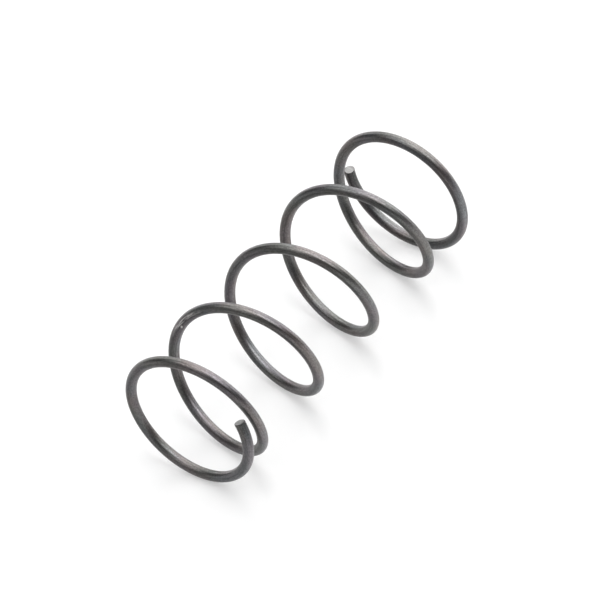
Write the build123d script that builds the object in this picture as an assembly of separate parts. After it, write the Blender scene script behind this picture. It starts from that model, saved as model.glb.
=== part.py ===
from build123d import *
from math import cos, degrees, pi, radians, sin
import os

# A small compression spring: one round steel wire wound right-handed into an
# open helix, lying on its side. Millimetres. The winding axis runs along +X,
# +Z is up, and the origin is under the middle of the spring, on the surface
# that it lies on. Both ends are wound flat and cut off plain, not ground.
#
# The wire is followed in turns, counted from its first tip. Until the spring is
# laid down, its winding axis is +Z.

# Driving dimensions
wire_diameter = 1.0         # of the drawn wire
mean_diameter = 12.5        # of the coil, measured at the wire's centre
first_end_diameter = 12.7   # the same of the first end turn, which has sprung open a little
pitch = 8.55                # advance per turn of the working coils
first_end_turns = 0.53      # wound flat at the first end, with no advance
last_end_turns = 0.545      # the same at the last end
ramp_turns = 0.57           # at each end, from no advance up to the full pitch
working_turns = 3.34        # wound at the full pitch
cut_slant = 4               # degrees that each sheared tip leans from square
underside = 110             # degrees round from the first tip to the side that lies underneath
ramp_stations = 12          # points that carry the curve of each ramp

# Worked out from them
wire_radius = wire_diameter / 2
coil_radius = mean_diameter / 2
ramp_advance = pitch * ramp_turns / 2
coiled_length = 2 * ramp_advance + pitch * working_turns

# Where each run of the wire begins, in turns from the first tip
first_ramp = first_end_turns
first_working = first_ramp + ramp_turns
last_ramp = first_working + working_turns
last_end = last_ramp + ramp_turns


def advance(turns):
    """How far the wire has climbed along the axis at this point of it."""
    up_ramp = min(max(turns - first_ramp, 0), ramp_turns)
    working = min(max(turns - first_working, 0), working_turns)
    down_ramp = min(max(turns - last_ramp, 0), ramp_turns)
    climbed_up_ramp = up_ramp**2 / (2 * ramp_turns)
    climbed_down_ramp = down_ramp - down_ramp**2 / (2 * ramp_turns)
    return pitch * (climbed_up_ramp + working + climbed_down_ramp)


def advance_rate(turns):
    """Advance per turn: nothing in the end turns, the pitch in the working coils."""
    from_end_turn = min(turns - first_ramp, last_end - turns)
    return pitch * min(max(from_end_turn / ramp_turns, 0), 1)


def wire_point(turns):
    """A point of the wire's centreline."""
    angle = 2 * pi * turns
    return Vector(coil_radius * cos(angle), coil_radius * sin(angle), advance(turns))


def wire_direction(turns):
    """The direction in which the wire runs there."""
    angle = 2 * pi * turns
    around = 2 * pi * coil_radius
    return Vector(-around * sin(angle), around * cos(angle), advance_rate(turns)).normalized()


def round_wire(start, direction, path):
    """The round wire along a path that begins at this point, in this direction."""
    section = Plane(start, z_dir=direction) * Circle(wire_radius)
    return sweep(section, path=path, is_frenet=True)


def working_coils():
    """The coils between the ramps: a true helix."""
    helix = Helix(pitch=pitch, height=pitch * working_turns, radius=coil_radius)
    path = Pos(0, 0, advance(first_working)) * Rot(0, 0, 360 * first_working) * helix
    return round_wire(wire_point(first_working), wire_direction(first_working), path)


def ramp(start):
    """The wire between an end turn and the working coils, whose pitch changes evenly."""
    stations = [start + ramp_turns * i / ramp_stations for i in range(ramp_stations + 1)]
    points = [wire_point(turns) for turns in stations]
    tangents = [wire_direction(stations[0]), wire_direction(stations[-1])]
    path = Spline(points, tangents=tangents, tangent_scalars=[1, 1])
    return round_wire(points[0], tangents[0], path)


def sheared(wire, tip, outward, towards_middle):
    """Cut the wire off at its tip, deeper on the side towards the middle of the spring."""
    slant = radians(cut_slant)
    face_normal = outward * cos(slant) + towards_middle * sin(slant)
    side = 3 * wire_diameter
    offcut = Box(side, side, side, align=(Align.CENTER, Align.CENTER, Align.MIN))
    return wire - Plane(tip, z_dir=face_normal) * offcut


def end_turn(ramp_end, turns, diameter, way):
    """A flat end turn, from the end of its ramp out to its tip; way is 1 at the last end, else -1."""
    start = wire_point(ramp_end)
    direction = wire_direction(ramp_end) * way
    inward = Vector(-start.X, -start.Y, 0).normalized()
    centre = start + inward * (diameter / 2)
    from_centre = start - centre
    wound = 360 * turns * way
    spare = degrees(2 * wire_diameter / diameter) * way
    tip = centre + from_centre.rotate(Axis.Z, wound)
    half_way = centre + from_centre.rotate(Axis.Z, wound / 2)
    past_tip = centre + from_centre.rotate(Axis.Z, wound + spare)
    wire = round_wire(start, direction, ThreePointArc(start, half_way, past_tip))
    return sheared(wire, tip, direction.rotate(Axis.Z, wound), Vector(0, 0, -way))


def wound_wire():
    """The whole spring as one solid, its winding axis along +Z."""
    first = end_turn(first_ramp, first_end_turns, first_end_diameter, -1)
    last = end_turn(last_end, last_end_turns, mean_diameter, 1)
    return working_coils().fuse(ramp(first_ramp), ramp(last_ramp), first, last)


def laid_down(spring):
    """Lay the spring along +X on its underside, seated on the surface and centred on the origin."""
    underside_to_x = Rot(0, 0, -underside)
    axis_along_x = Rot(0, 90, 0)
    lying = axis_along_x * underside_to_x * spring
    box = lying.bounding_box()
    return Pos(-box.center().X, -box.center().Y, -box.min.Z) * lying


def write(shape, node):
    """Write one piece to parts/NODE.step."""
    shape.label = node
    export_step(shape, os.path.join("parts", node + ".step"))


os.makedirs("parts", exist_ok=True)
write(laid_down(wound_wire()), "coil_spring")
print("free length", round(coiled_length + wire_diameter, 3))
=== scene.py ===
"""The looks of a small compression spring: dark drawn steel wire, lying on a pale floor.

Metres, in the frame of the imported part: the winding axis runs along +X, +Z is up, and the
origin is under the middle of the spring. The wire is swept again here, finer than the CAD
solid that it stands for, with the sheared faces of its tips and one small nick. A place
along the wire is given in turns from the first tip, and a place around it by its angle
from the side that faces away from the winding axis.
"""

import math

import bpy
import numpy as np
from mathutils import Matrix, Vector, noise


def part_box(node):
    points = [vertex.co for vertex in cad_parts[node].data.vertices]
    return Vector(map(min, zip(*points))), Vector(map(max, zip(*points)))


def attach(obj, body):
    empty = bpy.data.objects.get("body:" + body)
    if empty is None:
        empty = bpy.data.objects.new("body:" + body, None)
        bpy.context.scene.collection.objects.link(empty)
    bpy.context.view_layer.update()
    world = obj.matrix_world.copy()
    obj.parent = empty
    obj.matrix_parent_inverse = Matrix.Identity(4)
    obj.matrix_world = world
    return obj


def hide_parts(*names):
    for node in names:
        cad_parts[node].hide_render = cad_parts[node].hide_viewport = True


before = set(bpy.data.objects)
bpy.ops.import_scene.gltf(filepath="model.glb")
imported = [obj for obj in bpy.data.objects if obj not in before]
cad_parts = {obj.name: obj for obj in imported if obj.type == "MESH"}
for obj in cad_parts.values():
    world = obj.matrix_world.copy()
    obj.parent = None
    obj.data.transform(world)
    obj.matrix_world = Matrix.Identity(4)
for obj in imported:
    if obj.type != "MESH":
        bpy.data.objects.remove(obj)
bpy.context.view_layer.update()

MM = 0.001

# The spring, as the part's source gives it
WIRE_RADIUS = 0.5 * MM
COIL_RADIUS = 6.25 * MM
FIRST_END_RADIUS = 6.35 * MM   # the first end turn has sprung open a little
PITCH = 8.55 * MM
FIRST_END_TURNS = 0.53         # wound flat
LAST_END_TURNS = 0.545
RAMP_TURNS = 0.57              # at each end, from no pitch up to the full pitch
WORKING_TURNS = 3.34
ALL_TURNS = FIRST_END_TURNS + LAST_END_TURNS + 2 * RAMP_TURNS + WORKING_TURNS
CUT_SLANT = math.radians(4)
UNDERSIDE = math.radians(110)  # round from the first tip

# The mesh of the wire
SIDES = 48
STATIONS_PER_TURN = 220
STATIONS_AT_NICK = 31

# The sheared tips
TIP_REACH = 0.6 * MM           # the wire behind each tip that has rings of its own
TIP_SHARES = (1, 0.75, 0.55, 0.4, 0.28, 0.2)        # of TIP_REACH, where these rings are
EDGE_ANGLES = np.radians([0, 22.5, 45, 67.5, 90])   # where rings turn round the cut's edge
FLAT_SHARES = (0.86, 0.7, 0.54, 0.38, 0.22, 0.09)   # rings of the cut's flat, by their radius
ROLLED_EDGE = 0.09 * MM        # where the blade went in, on the outward side
SHARP_EDGE = 0.02 * MM         # where it came out
CUT_RELIEF = 0.012 * MM

# The nick, where the dark skin is knocked off, and the scuffed stretch beside it
NICK_TURNS = 1.6535
NICK_ANGLE = math.radians(110)
NICK_REACH = 0.15 * MM
NICK_DEPTH = 0.03 * MM
NICK_SKEW = 0.5                # how far it leans along the wire as it goes round
SCUFF_TURNS = 1.675
SCUFF_ANGLE = math.radians(72)
SCUFF_HALF_TURNS = 0.055
SCUFF_HALF_ANGLE = math.radians(20)

RUB_AND_SHADE_FADE_TURNS = 0.1           # behind each tip, over which the rub and its painted highlight fade out, so the wire is painted darker near the tips

# The map that a bake of the wire goes through: the wire's side cut into strips, one above
# the other, and over them a disc for each cut face
STRIPS = 8
STRIPS_HEIGHT = 0.94           # of the map's height, for all strips
STRIP_MARGIN = 0.032           # of a strip's height, above and below
MAP_MARGIN = 0.02              # of the map's width, at each end of a strip
STRIP_OVERRUN = 0.01           # of a strip's length, for a slanted ring at a tip
FIRST_DISC = (0.03, 0.97)
LAST_DISC = (0.09, 0.97)
DISC_RADIUS = 0.02             # in the map, for WIRE_RADIUS on the cut face

ANGLES = np.linspace(0, 2 * math.pi, SIDES, endpoint=False)


# --- The wire's shape ---------------------------------------------------------------------


def centreline(turns):
    """Points of the wire's centreline, with the winding axis along +Z from the first end."""
    up_ramp = np.clip(turns - FIRST_END_TURNS, 0, RAMP_TURNS)
    working = np.clip(turns - FIRST_END_TURNS - RAMP_TURNS, 0, WORKING_TURNS)
    down_ramp = np.clip(turns - FIRST_END_TURNS - RAMP_TURNS - WORKING_TURNS, 0, RAMP_TURNS)
    climbed = up_ramp**2 / (2 * RAMP_TURNS) + working + down_ramp - down_ramp**2 / (2 * RAMP_TURNS)
    angle = 2 * math.pi * turns
    hinge = 2 * math.pi * FIRST_END_TURNS
    in_first_end = turns < FIRST_END_TURNS
    radius = np.where(in_first_end, FIRST_END_RADIUS, COIL_RADIUS)
    offset = np.where(in_first_end, COIL_RADIUS - FIRST_END_RADIUS, 0)
    x = offset * math.cos(hinge) + radius * np.cos(angle)
    y = offset * math.sin(hinge) + radius * np.sin(angle)
    return np.stack([x, y, PITCH * climbed], axis=-1)


def laid_down(points):
    """Turn the winding axis to +X, with the underside down. It isn't seated yet."""
    x, y, z = np.moveaxis(points, -1, 0)
    downward = x * math.cos(UNDERSIDE) + y * math.sin(UNDERSIDE)
    sideways = y * math.cos(UNDERSIDE) - x * math.sin(UNDERSIDE)
    return np.stack([z, sideways, -downward], axis=-1)


def unit(vectors):
    return vectors / np.linalg.norm(vectors, axis=-1, keepdims=True)


def on_wire(turns, radii):
    """Points at these turns and distances from the centreline, one for each of ANGLES in a row."""
    step = 1e-4
    centres = laid_down(centreline(turns))
    along = unit(laid_down(centreline(turns + step)) - laid_down(centreline(turns - step)))
    outward = centres * [0, 1, 1]
    outward = unit(outward - along * np.sum(outward * along, axis=-1, keepdims=True))
    sideways = np.cross(along, outward)
    spokes = np.cos(ANGLES)[:, None] * outward + np.sin(ANGLES)[:, None] * sideways
    return centres + radii[..., None] * spokes


def turns_in(length):
    """The turns of the coil that a length of wire makes."""
    return length / (2 * math.pi * COIL_RADIUS)


def smooth_step(low, high, value):
    """0 on low's side, 1 on high's side, with an easy bend in between."""
    share = np.clip((value - low) / (high - low), 0, 1)
    return share * share * (3 - 2 * share)


def plain_stations():
    """Turns of each ring between the tips, closer together at the nick."""
    margin = turns_in(TIP_REACH)
    even = np.linspace(margin, ALL_TURNS - margin, round(ALL_TURNS * STATIONS_PER_TURN))[1:-1]
    reach = turns_in(3 * NICK_REACH)
    at_nick = NICK_TURNS + np.linspace(-reach, reach, STATIONS_AT_NICK)
    clear_of_nick = abs(even - NICK_TURNS) > 1.1 * reach
    return np.sort(np.concatenate([even[clear_of_nick], at_nick]))


def cut_relief(radii, seed):
    """How far one ring of a cut face stands back: blade marks outward, torn metal inward."""
    falloff, spacing, octaves = 0.9, 2, 4
    relief = []
    for across, outward in zip(radii * np.sin(ANGLES), radii * np.cos(ANGLES)):
        across, outward = across / WIRE_RADIUS, outward / WIRE_RADIUS
        blade_marks = 0.5 * noise.noise(Vector((10 * across, outward, seed)))
        place = Vector((3 * across, 3 * outward, seed + 5))
        tear = 1.5 + 1.2 * noise.fractal(place, falloff, spacing, octaves)
        torn = float(smooth_step(0.15, -0.2, outward))
        relief.append(CUT_RELIEF * (blade_marks * (1 - torn) + tear * torn))
    return np.array(relief)


def tip_rings(side_cut_deeper, seed):
    """Rings from the plain wire to the middle of a cut face.

    Each is how far in from the tip it is, its radii, and its radii laid flat on the face,
    or None before the face. side_cut_deeper is 1 or -1, the sine of the angle of the side
    where the cut leans in.
    """
    edge = SHARP_EDGE + (ROLLED_EDGE - SHARP_EDGE) * smooth_step(-0.5, 0.8, np.cos(ANGLES))
    slant = math.tan(CUT_SLANT) * side_cut_deeper * np.sin(ANGLES)
    rings = []
    for share in TIP_SHARES:
        inset = TIP_REACH * share + WIRE_RADIUS * slant * (1 - share)
        rings.append((inset, np.full(SIDES, WIRE_RADIUS), None))
    for angle in EDGE_ANGLES:
        radii = WIRE_RADIUS - edge * (1 - math.cos(angle))
        laid_flat = WIRE_RADIUS - edge * (1 - (math.pi / 2 - angle))
        rings.append((edge * (1 - math.sin(angle)) + radii * slant, radii, laid_flat))
    for share in FLAT_SHARES:
        radii = (WIRE_RADIUS - edge) * share
        rings.append((radii * slant + cut_relief(radii, seed), radii, radii))
    return rings


def nick_profile(turns):
    """0 on untouched wire, 1 in the middle of the nick."""
    along = (turns - NICK_TURNS) / turns_in(NICK_REACH)
    around = (ANGLES - NICK_ANGLE) * WIRE_RADIUS / NICK_REACH
    return np.exp(-1.2 * (along + NICK_SKEW * around) ** 2 - 1.6 * around**2)


def scuff_profile(turns):
    """0 on untouched wire, 1 in the middle of the scuffed stretch."""
    along = (turns - SCUFF_TURNS) / SCUFF_HALF_TURNS
    around = (ANGLES - SCUFF_ANGLE) / SCUFF_HALF_ANGLE
    return smooth_step(1.3, 0.4, np.hypot(along, around))


def rub_and_shade_profile(turns):
    """1 on the wire's outward and inward sides, 0 between them and at the tips. Partly rub by the
    coiling tools, partly painted highlight and shade.
    """
    from_tip = np.minimum(turns, ALL_TURNS - turns)
    return np.cos(ANGLES) ** 2 * smooth_step(0, RUB_AND_SHADE_FADE_TURNS, from_tip)


def wire_rings():
    """Turns, radii and radii laid flat of all rings, from one cut face's middle to the other's."""
    plain = plain_stations()
    first = tip_rings(side_cut_deeper=-1, seed=3)[::-1]
    last = tip_rings(side_cut_deeper=1, seed=8)
    turns = [turns_in(inset) for inset, _, _ in first]
    turns += [np.full(SIDES, station) for station in plain]
    turns += [ALL_TURNS - turns_in(inset) for inset, _, _ in last]
    radii = [radius for _, radius, _ in first]
    radii += [np.full(SIDES, WIRE_RADIUS) for _ in plain]
    radii += [radius for _, radius, _ in last]
    laid_flat = [flat for _, _, flat in first]
    laid_flat += [None for _ in plain]
    laid_flat += [flat for _, _, flat in last]
    return np.array(turns), np.array(radii), laid_flat


def wire_faces(count):
    """Quads between the rings, then the fans at the two middles, whose points come last."""
    ring, side = np.meshgrid(np.arange(count - 1), np.arange(SIDES), indexing="ij")
    following = (side + 1) % SIDES
    quads = [ring * SIDES + side, ring * SIDES + following]
    quads += [(ring + 1) * SIDES + following, (ring + 1) * SIDES + side]
    quads = np.stack(quads, axis=-1).reshape(-1, 4).tolist()
    pairs = [(side, (side + 1) % SIDES) for side in range(SIDES)]
    first_middle, last_middle = count * SIDES, count * SIDES + 1
    last_ring = (count - 1) * SIDES
    first_fan = [(first_middle, b, a) for a, b in pairs]
    last_fan = [(last_middle, last_ring + a, last_ring + b) for a, b in pairs]
    return quads + first_fan + last_fan


def add_attribute(mesh, name, kind, values):
    """A value for each point of the mesh, which the materials read by its name."""
    field = {"FLOAT": "value", "FLOAT_VECTOR": "vector"}[kind]
    attribute = mesh.attributes.new(name, kind, "POINT")
    attribute.data.foreach_set(field, np.asarray(values, np.float32).ravel())


def bake_map(mesh, turns, laid_flat):
    """A UV map without overlaps, with a place for each face corner in the order of wire_faces."""
    count = len(turns)
    on_face = [flat is not None for flat in laid_flat]
    on_side = [ring for ring in range(count - 1) if not (on_face[ring] and on_face[ring + 1])]
    first, beyond = on_side[0], on_side[-1] + 1
    per_strip = math.ceil((beyond - first) / STRIPS)
    mean_turns = turns.mean(axis=1)

    def in_strip(strip, ring, side):
        start = first + strip * per_strip
        end = min(start + per_strip, beyond)
        past_start = turns[ring][side % SIDES] - mean_turns[start]
        share = past_start / (mean_turns[end] - mean_turns[start])
        share = min(max(share, -STRIP_OVERRUN), 1 + STRIP_OVERRUN)
        strips_up = strip + STRIP_MARGIN + (1 - 2 * STRIP_MARGIN) * side / SIDES
        return MAP_MARGIN + (1 - 2 * MAP_MARGIN) * share, strips_up * STRIPS_HEIGHT / STRIPS

    def in_disc(middle, ring, side):
        radius = laid_flat[ring][side % SIDES] * DISC_RADIUS / WIRE_RADIUS
        angle = ANGLES[side % SIDES]
        return middle[0] + radius * math.cos(angle), middle[1] + radius * math.sin(angle)

    places = []
    for ring in range(count - 1):
        for side in range(SIDES):
            corners = ((ring, side), (ring, side + 1), (ring + 1, side + 1), (ring + 1, side))
            if ring < first:
                places += [in_disc(FIRST_DISC, *corner) for corner in corners]
            elif ring < beyond:
                strip = (ring - first) // per_strip
                places += [in_strip(strip, *corner) for corner in corners]
            else:
                places += [in_disc(LAST_DISC, *corner) for corner in corners]
    for side in range(SIDES):
        places += [FIRST_DISC, in_disc(FIRST_DISC, 0, side + 1), in_disc(FIRST_DISC, 0, side)]
    for side in range(SIDES):
        last = count - 1
        places += [LAST_DISC, in_disc(LAST_DISC, last, side), in_disc(LAST_DISC, last, side + 1)]
    layer = mesh.uv_layers.new(name="OFBake")
    layer.data.foreach_set("uv", np.array(places, np.float32).ravel())


def seat(points):
    """How far these points have to move to lie where the CAD solid does."""
    low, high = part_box("coil_spring")
    mine_low, mine_high = points.min(axis=0), points.max(axis=0)
    move = (np.array([low.x + high.x, low.y + high.y, 0]) - mine_low - mine_high) / 2
    move[2] = low.z - mine_low[2]
    return move


def build_wire():
    """The wire as one object, with the profiles that its materials read as attributes."""
    turns, radii, laid_flat = wire_rings()
    nick = nick_profile(turns)
    scuff = scuff_profile(turns)
    radii = radii - NICK_DEPTH * nick
    points = on_wire(turns, radii).reshape(-1, 3)
    middles = [on_wire(turns[ring], 0 * radii[ring]).mean(axis=0) for ring in (0, -1)]
    points = np.concatenate([points, middles])
    points += seat(points)

    mesh = bpy.data.meshes.new("spring_wire")
    mesh.from_pydata(points.tolist(), [], wire_faces(len(turns)))
    mesh.shade_smooth()
    length = turns / turns_in(1)
    section = [radii * np.cos(ANGLES), radii * np.sin(ANGLES)]
    places = np.stack([*section, length], axis=-1).reshape(-1, 3)
    middle_places = [(0, 0, length[ring].mean()) for ring in (0, -1)]
    add_attribute(mesh, "wire_place", "FLOAT_VECTOR", np.concatenate([places, middle_places]))
    # The first profile carries painted highlight and shade round the wire, partly tool rub
    for name, profile in (("rubbed_and_shaded", rub_and_shade_profile(turns)), ("nick", nick), ("scuff", scuff)):
        add_attribute(mesh, name, "FLOAT", np.append(profile, [0, 0]))
    bake_map(mesh, turns, laid_flat)

    material_of_face = np.zeros(len(mesh.polygons), np.int32)
    cut_quads = len(FLAT_SHARES) * SIDES
    fans = 2 * SIDES
    material_of_face[:cut_quads] = 1
    material_of_face[-cut_quads - fans :] = 1
    mesh.polygons.foreach_set("material_index", material_of_face)

    wire = bpy.data.objects.new("spring_wire", mesh)
    bpy.context.scene.collection.objects.link(wire)
    return wire


# --- Materials ----------------------------------------------------------------------------


def grey(value):
    return (value, value, value, 1)


class Nodes:
    """Adds nodes to one material, each linked or set as it is made."""

    def __init__(self, name):
        self.material = bpy.data.materials.new(name)
        self.material.use_nodes = True
        self.tree = self.material.node_tree
        self.shader = self.tree.nodes["Principled BSDF"]

    def feed(self, socket, value):
        """Link another node's output to a socket, or set the socket to a plain value."""
        if isinstance(value, bpy.types.NodeSocket):
            self.tree.links.new(value, socket)
        else:
            socket.default_value = value

    def add(self, kind, inputs, output=0, **settings):
        node = self.tree.nodes.new(kind)
        for name, value in settings.items():
            setattr(node, name, value)
        for name, value in inputs.items():
            self.feed(node.inputs[name], value)
        return node.outputs[output]

    def attribute(self, name, output):
        return self.add("ShaderNodeAttribute", {}, output, attribute_name=name)

    def stretched_noise(self, place, scale, detail, roughness=0.5):
        """Noise on a place, with a scale in features per metre for each of its directions."""
        moved = self.add("ShaderNodeVectorMath", {0: place, 1: scale}, operation="MULTIPLY")
        return self.add(
            "ShaderNodeTexNoise",
            {"Vector": moved, "Scale": 1.0, "Detail": detail, "Roughness": roughness},
            "Fac",
        )

    def ranged(self, value, low, high, to_low, to_high):
        """The value moved from the range low..high to to_low..to_high, and kept in it."""
        inputs = {"Value": value, "From Min": low, "From Max": high, "To Min": to_low, "To Max": to_high}
        return self.add("ShaderNodeMapRange", inputs)

    def maths(self, operation, a, b):
        return self.add("ShaderNodeMath", {0: a, 1: b}, operation=operation)

    def mixed(self, share, a, b, blend="MIX"):
        """Colour a blended with colour b."""
        inputs = {"Factor": share, 6: a, 7: b}
        return self.add("ShaderNodeMix", inputs, 2, data_type="RGBA", blend_type=blend)

    def bumped(self, height, distance, under=None):
        """A bumped surface direction, laid over another one where it is given."""
        inputs = {"Height": height, "Distance": distance, "Strength": 1.0}
        if under is not None:
            inputs["Normal"] = under
        return self.add("ShaderNodeBump", inputs)


def wire_material():
    """Dark skin with lengthwise drawing lines, paler on the outward and inward sides and darker between
    them and near the tips: partly rub by the coiling tools, partly painted highlight and shade.
    """
    make = Nodes("dark_spring_wire")
    place = make.attribute("wire_place", "Vector")
    rubbed_and_shaded = make.attribute("rubbed_and_shaded", "Fac")
    nick = make.attribute("nick", "Fac")
    scuff = make.attribute("scuff", "Fac")

    lines = make.stretched_noise(place, (9000, 9000, 300), 3)
    fine_lines = make.stretched_noise(place, (24000, 24000, 420), 3, 0.6)
    patches = make.stretched_noise(place, (700, 700, 260), 2)
    other_patches = make.stretched_noise(place, (-600, 800, -230), 2)
    grain = make.stretched_noise(place, (11000, 11000, 8000), 3, 0.7)

    dark, light = (0.119, 0.116, 0.1165, 1), (0.165, 0.161, 0.1615, 1)
    skin = make.mixed(make.ranged(lines, 0.32, 0.68, 0, 1), dark, light)
    # Painted light and shade, partly tool rub: the outward and inward sides paler, the sides between
    # them and the wire near the tips darker
    shaded_sides, worn_and_lit_sides = grey(0.62), grey(1.54)
    rub_and_shade = make.maths("ADD", rubbed_and_shaded, make.ranged(lines, 0.3, 0.7, -0.05, 0.05))
    skin = make.mixed(1.0, skin, make.mixed(rub_and_shade, shaded_sides, worn_and_lit_sides), "MULTIPLY")
    warm, cool = (1.06, 0.985, 0.99, 1), (0.97, 1.01, 0.995, 1)
    tint = make.mixed(make.ranged(patches, 0.4, 0.62, 0, 1), cool, warm)
    skin = make.mixed(1.0, skin, tint, "MULTIPLY")
    blue, yellow = (0.985, 0.995, 1.045, 1), (1.01, 1.0, 0.965, 1)
    tint = make.mixed(make.ranged(other_patches, 0.4, 0.62, 0, 1), yellow, blue)
    skin = make.mixed(1.0, skin, tint, "MULTIPLY")
    speckle = make.mixed(make.ranged(grain, 0.36, 0.64, 0, 1), grey(0.7), grey(1.3))
    skin = make.mixed(1.0, skin, speckle, "MULTIPLY")

    scratched, knocked_bare = (0.46, 0.45, 0.44, 1), (0.44, 0.43, 0.42, 1)
    scratch_lines = make.stretched_noise(place, (12000, 12000, 1500), 2)
    scratches = make.maths("MULTIPLY", scuff, make.ranged(scratch_lines, 0.47, 0.57, 0, 0.9))
    skin = make.mixed(scratches, skin, scratched)
    skin = make.mixed(make.ranged(nick, 0.25, 0.6, 0, 1), skin, knocked_bare)

    roughness = make.ranged(grain, 0.36, 0.64, 0.46, 0.32)
    bump = make.bumped(fine_lines, 0.004 * MM)
    bump = make.bumped(grain, 0.004 * MM, bump)

    make.feed(make.shader.inputs["Base Color"], skin)
    make.feed(make.shader.inputs["Roughness"], roughness)
    make.feed(make.shader.inputs["Normal"], bump)
    make.shader.inputs["Metallic"].default_value = 1
    return make.material


def cut_material():
    """Bare sheared steel, pale, with the blade's marks."""
    make = Nodes("sheared_steel")
    place = make.attribute("wire_place", "Vector")
    marks = make.stretched_noise(place, (2500, 26000, 2500), 3)
    grain = make.stretched_noise(place, (30000, 30000, 30000), 3, 0.6)
    dull, bright = (0.30, 0.296, 0.292, 1), (0.50, 0.494, 0.488, 1)
    steel = make.mixed(make.ranged(marks, 0.3, 0.7, 0, 1), dull, bright)
    bump = make.bumped(grain, 0.004 * MM)
    bump = make.bumped(marks, 0.006 * MM, bump)

    make.feed(make.shader.inputs["Base Color"], steel)
    make.feed(make.shader.inputs["Roughness"], make.ranged(grain, 0.3, 0.7, 0.36, 0.5))
    make.feed(make.shader.inputs["Normal"], bump)
    make.shader.inputs["Metallic"].default_value = 1
    return make.material


wire = build_wire()
wire.data.materials.append(wire_material())
wire.data.materials.append(cut_material())
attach(wire, "root")
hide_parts("coil_spring")


# --- Floor and backdrop -------------------------------------------------------------------

STAGE_RADIUS = 1.2
STAGE_SIDES = 96
BACKDROP_HEIGHT = 0.08
FLOOR_COLOUR = 0.54
FLOOR_GLOW = 0.405       # lifts the lit floor to white and leaves the shadows
STAGE_ROUGHNESS = 0.35


def stage_piece(name, points, faces, colour, glow):
    """A piece of the stage and its paint. Its glow is seen, also mirrored, but lights nothing."""
    mesh = bpy.data.meshes.new(name)
    mesh.from_pydata(points, [], faces)
    piece = bpy.data.objects.new(name, mesh)
    bpy.context.scene.collection.objects.link(piece)
    paint = Nodes(name)
    paint.shader.inputs["Base Color"].default_value = grey(colour)
    paint.shader.inputs["Roughness"].default_value = STAGE_ROUGHNESS
    paint.shader.inputs["Emission Color"].default_value = grey(1)
    seen, mirrored, through = (
        paint.add("ShaderNodeLightPath", {}, ray)
        for ray in ("Is Camera Ray", "Is Glossy Ray", "Is Transmission Ray")
    )
    seen = paint.maths("MAXIMUM", paint.maths("MAXIMUM", seen, mirrored), through)
    paint.feed(paint.shader.inputs["Emission Strength"], paint.maths("MULTIPLY", seen, glow))
    mesh.materials.append(paint.material)
    return piece, paint


turns_round = np.linspace(0, 2 * math.pi, STAGE_SIDES, endpoint=False)
rim = [(STAGE_RADIUS * math.cos(angle), STAGE_RADIUS * math.sin(angle), 0) for angle in turns_round]
stage_piece("floor", rim, [tuple(range(STAGE_SIDES))], FLOOR_COLOUR, FLOOR_GLOW)

# A low wall, so that a view from the side has a white background too. It casts no shadow
wall = rim + [(x, y, BACKDROP_HEIGHT) for x, y, _ in rim]
wall_faces = []
for side in range(STAGE_SIDES):
    following = (side + 1) % STAGE_SIDES
    wall_faces.append((side, following, STAGE_SIDES + following, STAGE_SIDES + side))
backdrop, backdrop_paint = stage_piece("backdrop", wall, wall_faces, 0, 1)
backdrop_paint.shader.inputs["Specular IOR Level"].default_value = 0
backdrop.visible_shadow = False


# --- Camera -------------------------------------------------------------------------------

CAMERA_AZIMUTH = math.radians(-45.92)   # from -Y towards +X
CAMERA_ELEVATION = math.radians(41.16)
CAMERA_ROLL = math.radians(-12.69)
CAMERA_DISTANCE = 888.5 * MM
LENS_MM = 600
SENSOR_MM = 36
AXIS_HEIGHT = 6.834 * MM       # of the winding axis, over the floor
AXIS_SIDEWAYS = 0.099 * MM     # of the winding axis, from the origin
AIM_RIGHT = 0.181 * MM         # from the middle of the winding axis to the picture's middle
AIM_UP = 0.301 * MM

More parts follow.
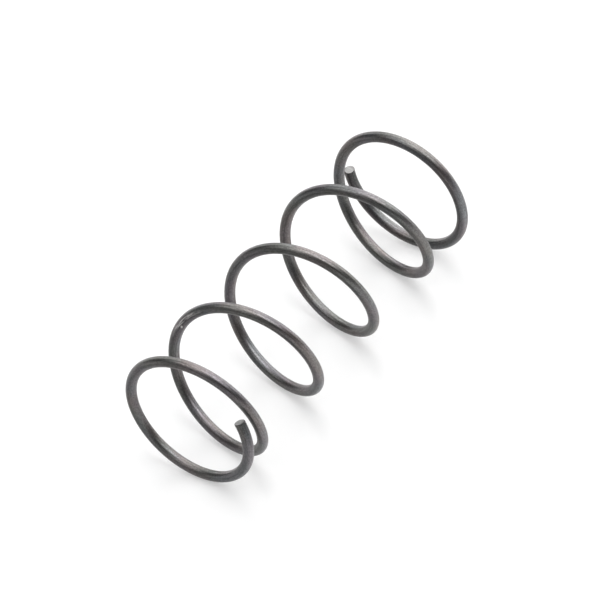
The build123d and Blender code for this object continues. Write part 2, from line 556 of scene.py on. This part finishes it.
camera_data = bpy.data.cameras.new("camera")
camera_data.lens = LENS_MM
camera_data.sensor_width = SENSOR_MM
camera_data.clip_start = 0.01
camera_data.clip_end = 20
camera = bpy.data.objects.new("camera", camera_data)
bpy.context.scene.collection.objects.link(camera)
bpy.context.scene.camera = camera
back = Vector(
    (
        math.sin(CAMERA_AZIMUTH) * math.cos(CAMERA_ELEVATION),
        -math.cos(CAMERA_AZIMUTH) * math.cos(CAMERA_ELEVATION),
        math.sin(CAMERA_ELEVATION),
    )
)
look = (-back).to_track_quat("-Z", "Y").to_matrix() @ Matrix.Rotation(CAMERA_ROLL, 3, "Z")
right, up, _ = look.transposed()
aim = Vector((0, AXIS_SIDEWAYS, AXIS_HEIGHT)) + right * AIM_RIGHT + up * AIM_UP
camera.matrix_world = Matrix.Translation(aim + back * CAMERA_DISTANCE) @ look.to_4x4()


# --- Light --------------------------------------------------------------------------------

# Each soft light: its azimuth from the camera's right towards the back, its elevation, and
# how bright it makes a white surface that faces it
SOFT_LIGHTS = (
    (30, 8, 0.20),
    (60, 8, 0.20),
    (120, 8, 0.09),
    (180, 8, 0.05),
    (210, 8, 0.02),
    (15, 32, 0.07),
    (45, 32, 0.16),
    (75, 32, 0.15),
    (105, 32, 0.09),
    (225, 32, 0.06),
    (0, 58, 0.10),
    (45, 58, 0.07),
    (90, 58, 0.07),
    (180, 58, 0.11),
    (225, 58, 0.11),
    (315, 58, 0.25),
    (0, 84, 0.24),
)
SOFT_LIGHT_ANGLE = math.radians(30)
WORLD_STRENGTH = 0.03


def soft_light(azimuth, elevation, brightness):
    """A lamp that is far away and looks as wide as SOFT_LIGHT_ANGLE."""
    backwards = Vector((-back.x, -back.y, 0)).normalized()
    rightwards = Vector((backwards.y, -backwards.x, 0))
    level = rightwards * math.cos(azimuth) + backwards * math.sin(azimuth)
    towards = level * math.cos(elevation) + Vector((0, 0, math.sin(elevation)))
    data = bpy.data.lights.new("soft_light", "SUN")
    data.angle = SOFT_LIGHT_ANGLE
    data.energy = math.pi * brightness
    lamp = bpy.data.objects.new("soft_light", data)
    bpy.context.scene.collection.objects.link(lamp)
    lamp.rotation_euler = towards.to_track_quat("Z", "Y").to_euler()


for azimuth, elevation, brightness in SOFT_LIGHTS:
    soft_light(math.radians(azimuth), math.radians(elevation), brightness)

# The world is dim, so that the soft lights give the wire its highlights and its shading
world = bpy.data.worlds.new("world")
bpy.context.scene.world = world
world.use_nodes = True
background = world.node_tree.nodes["Background"]
background.inputs["Color"].default_value = grey(1)
background.inputs["Strength"].default_value = WORLD_STRENGTH

bpy.context.scene.view_settings.view_transform = "Standard"
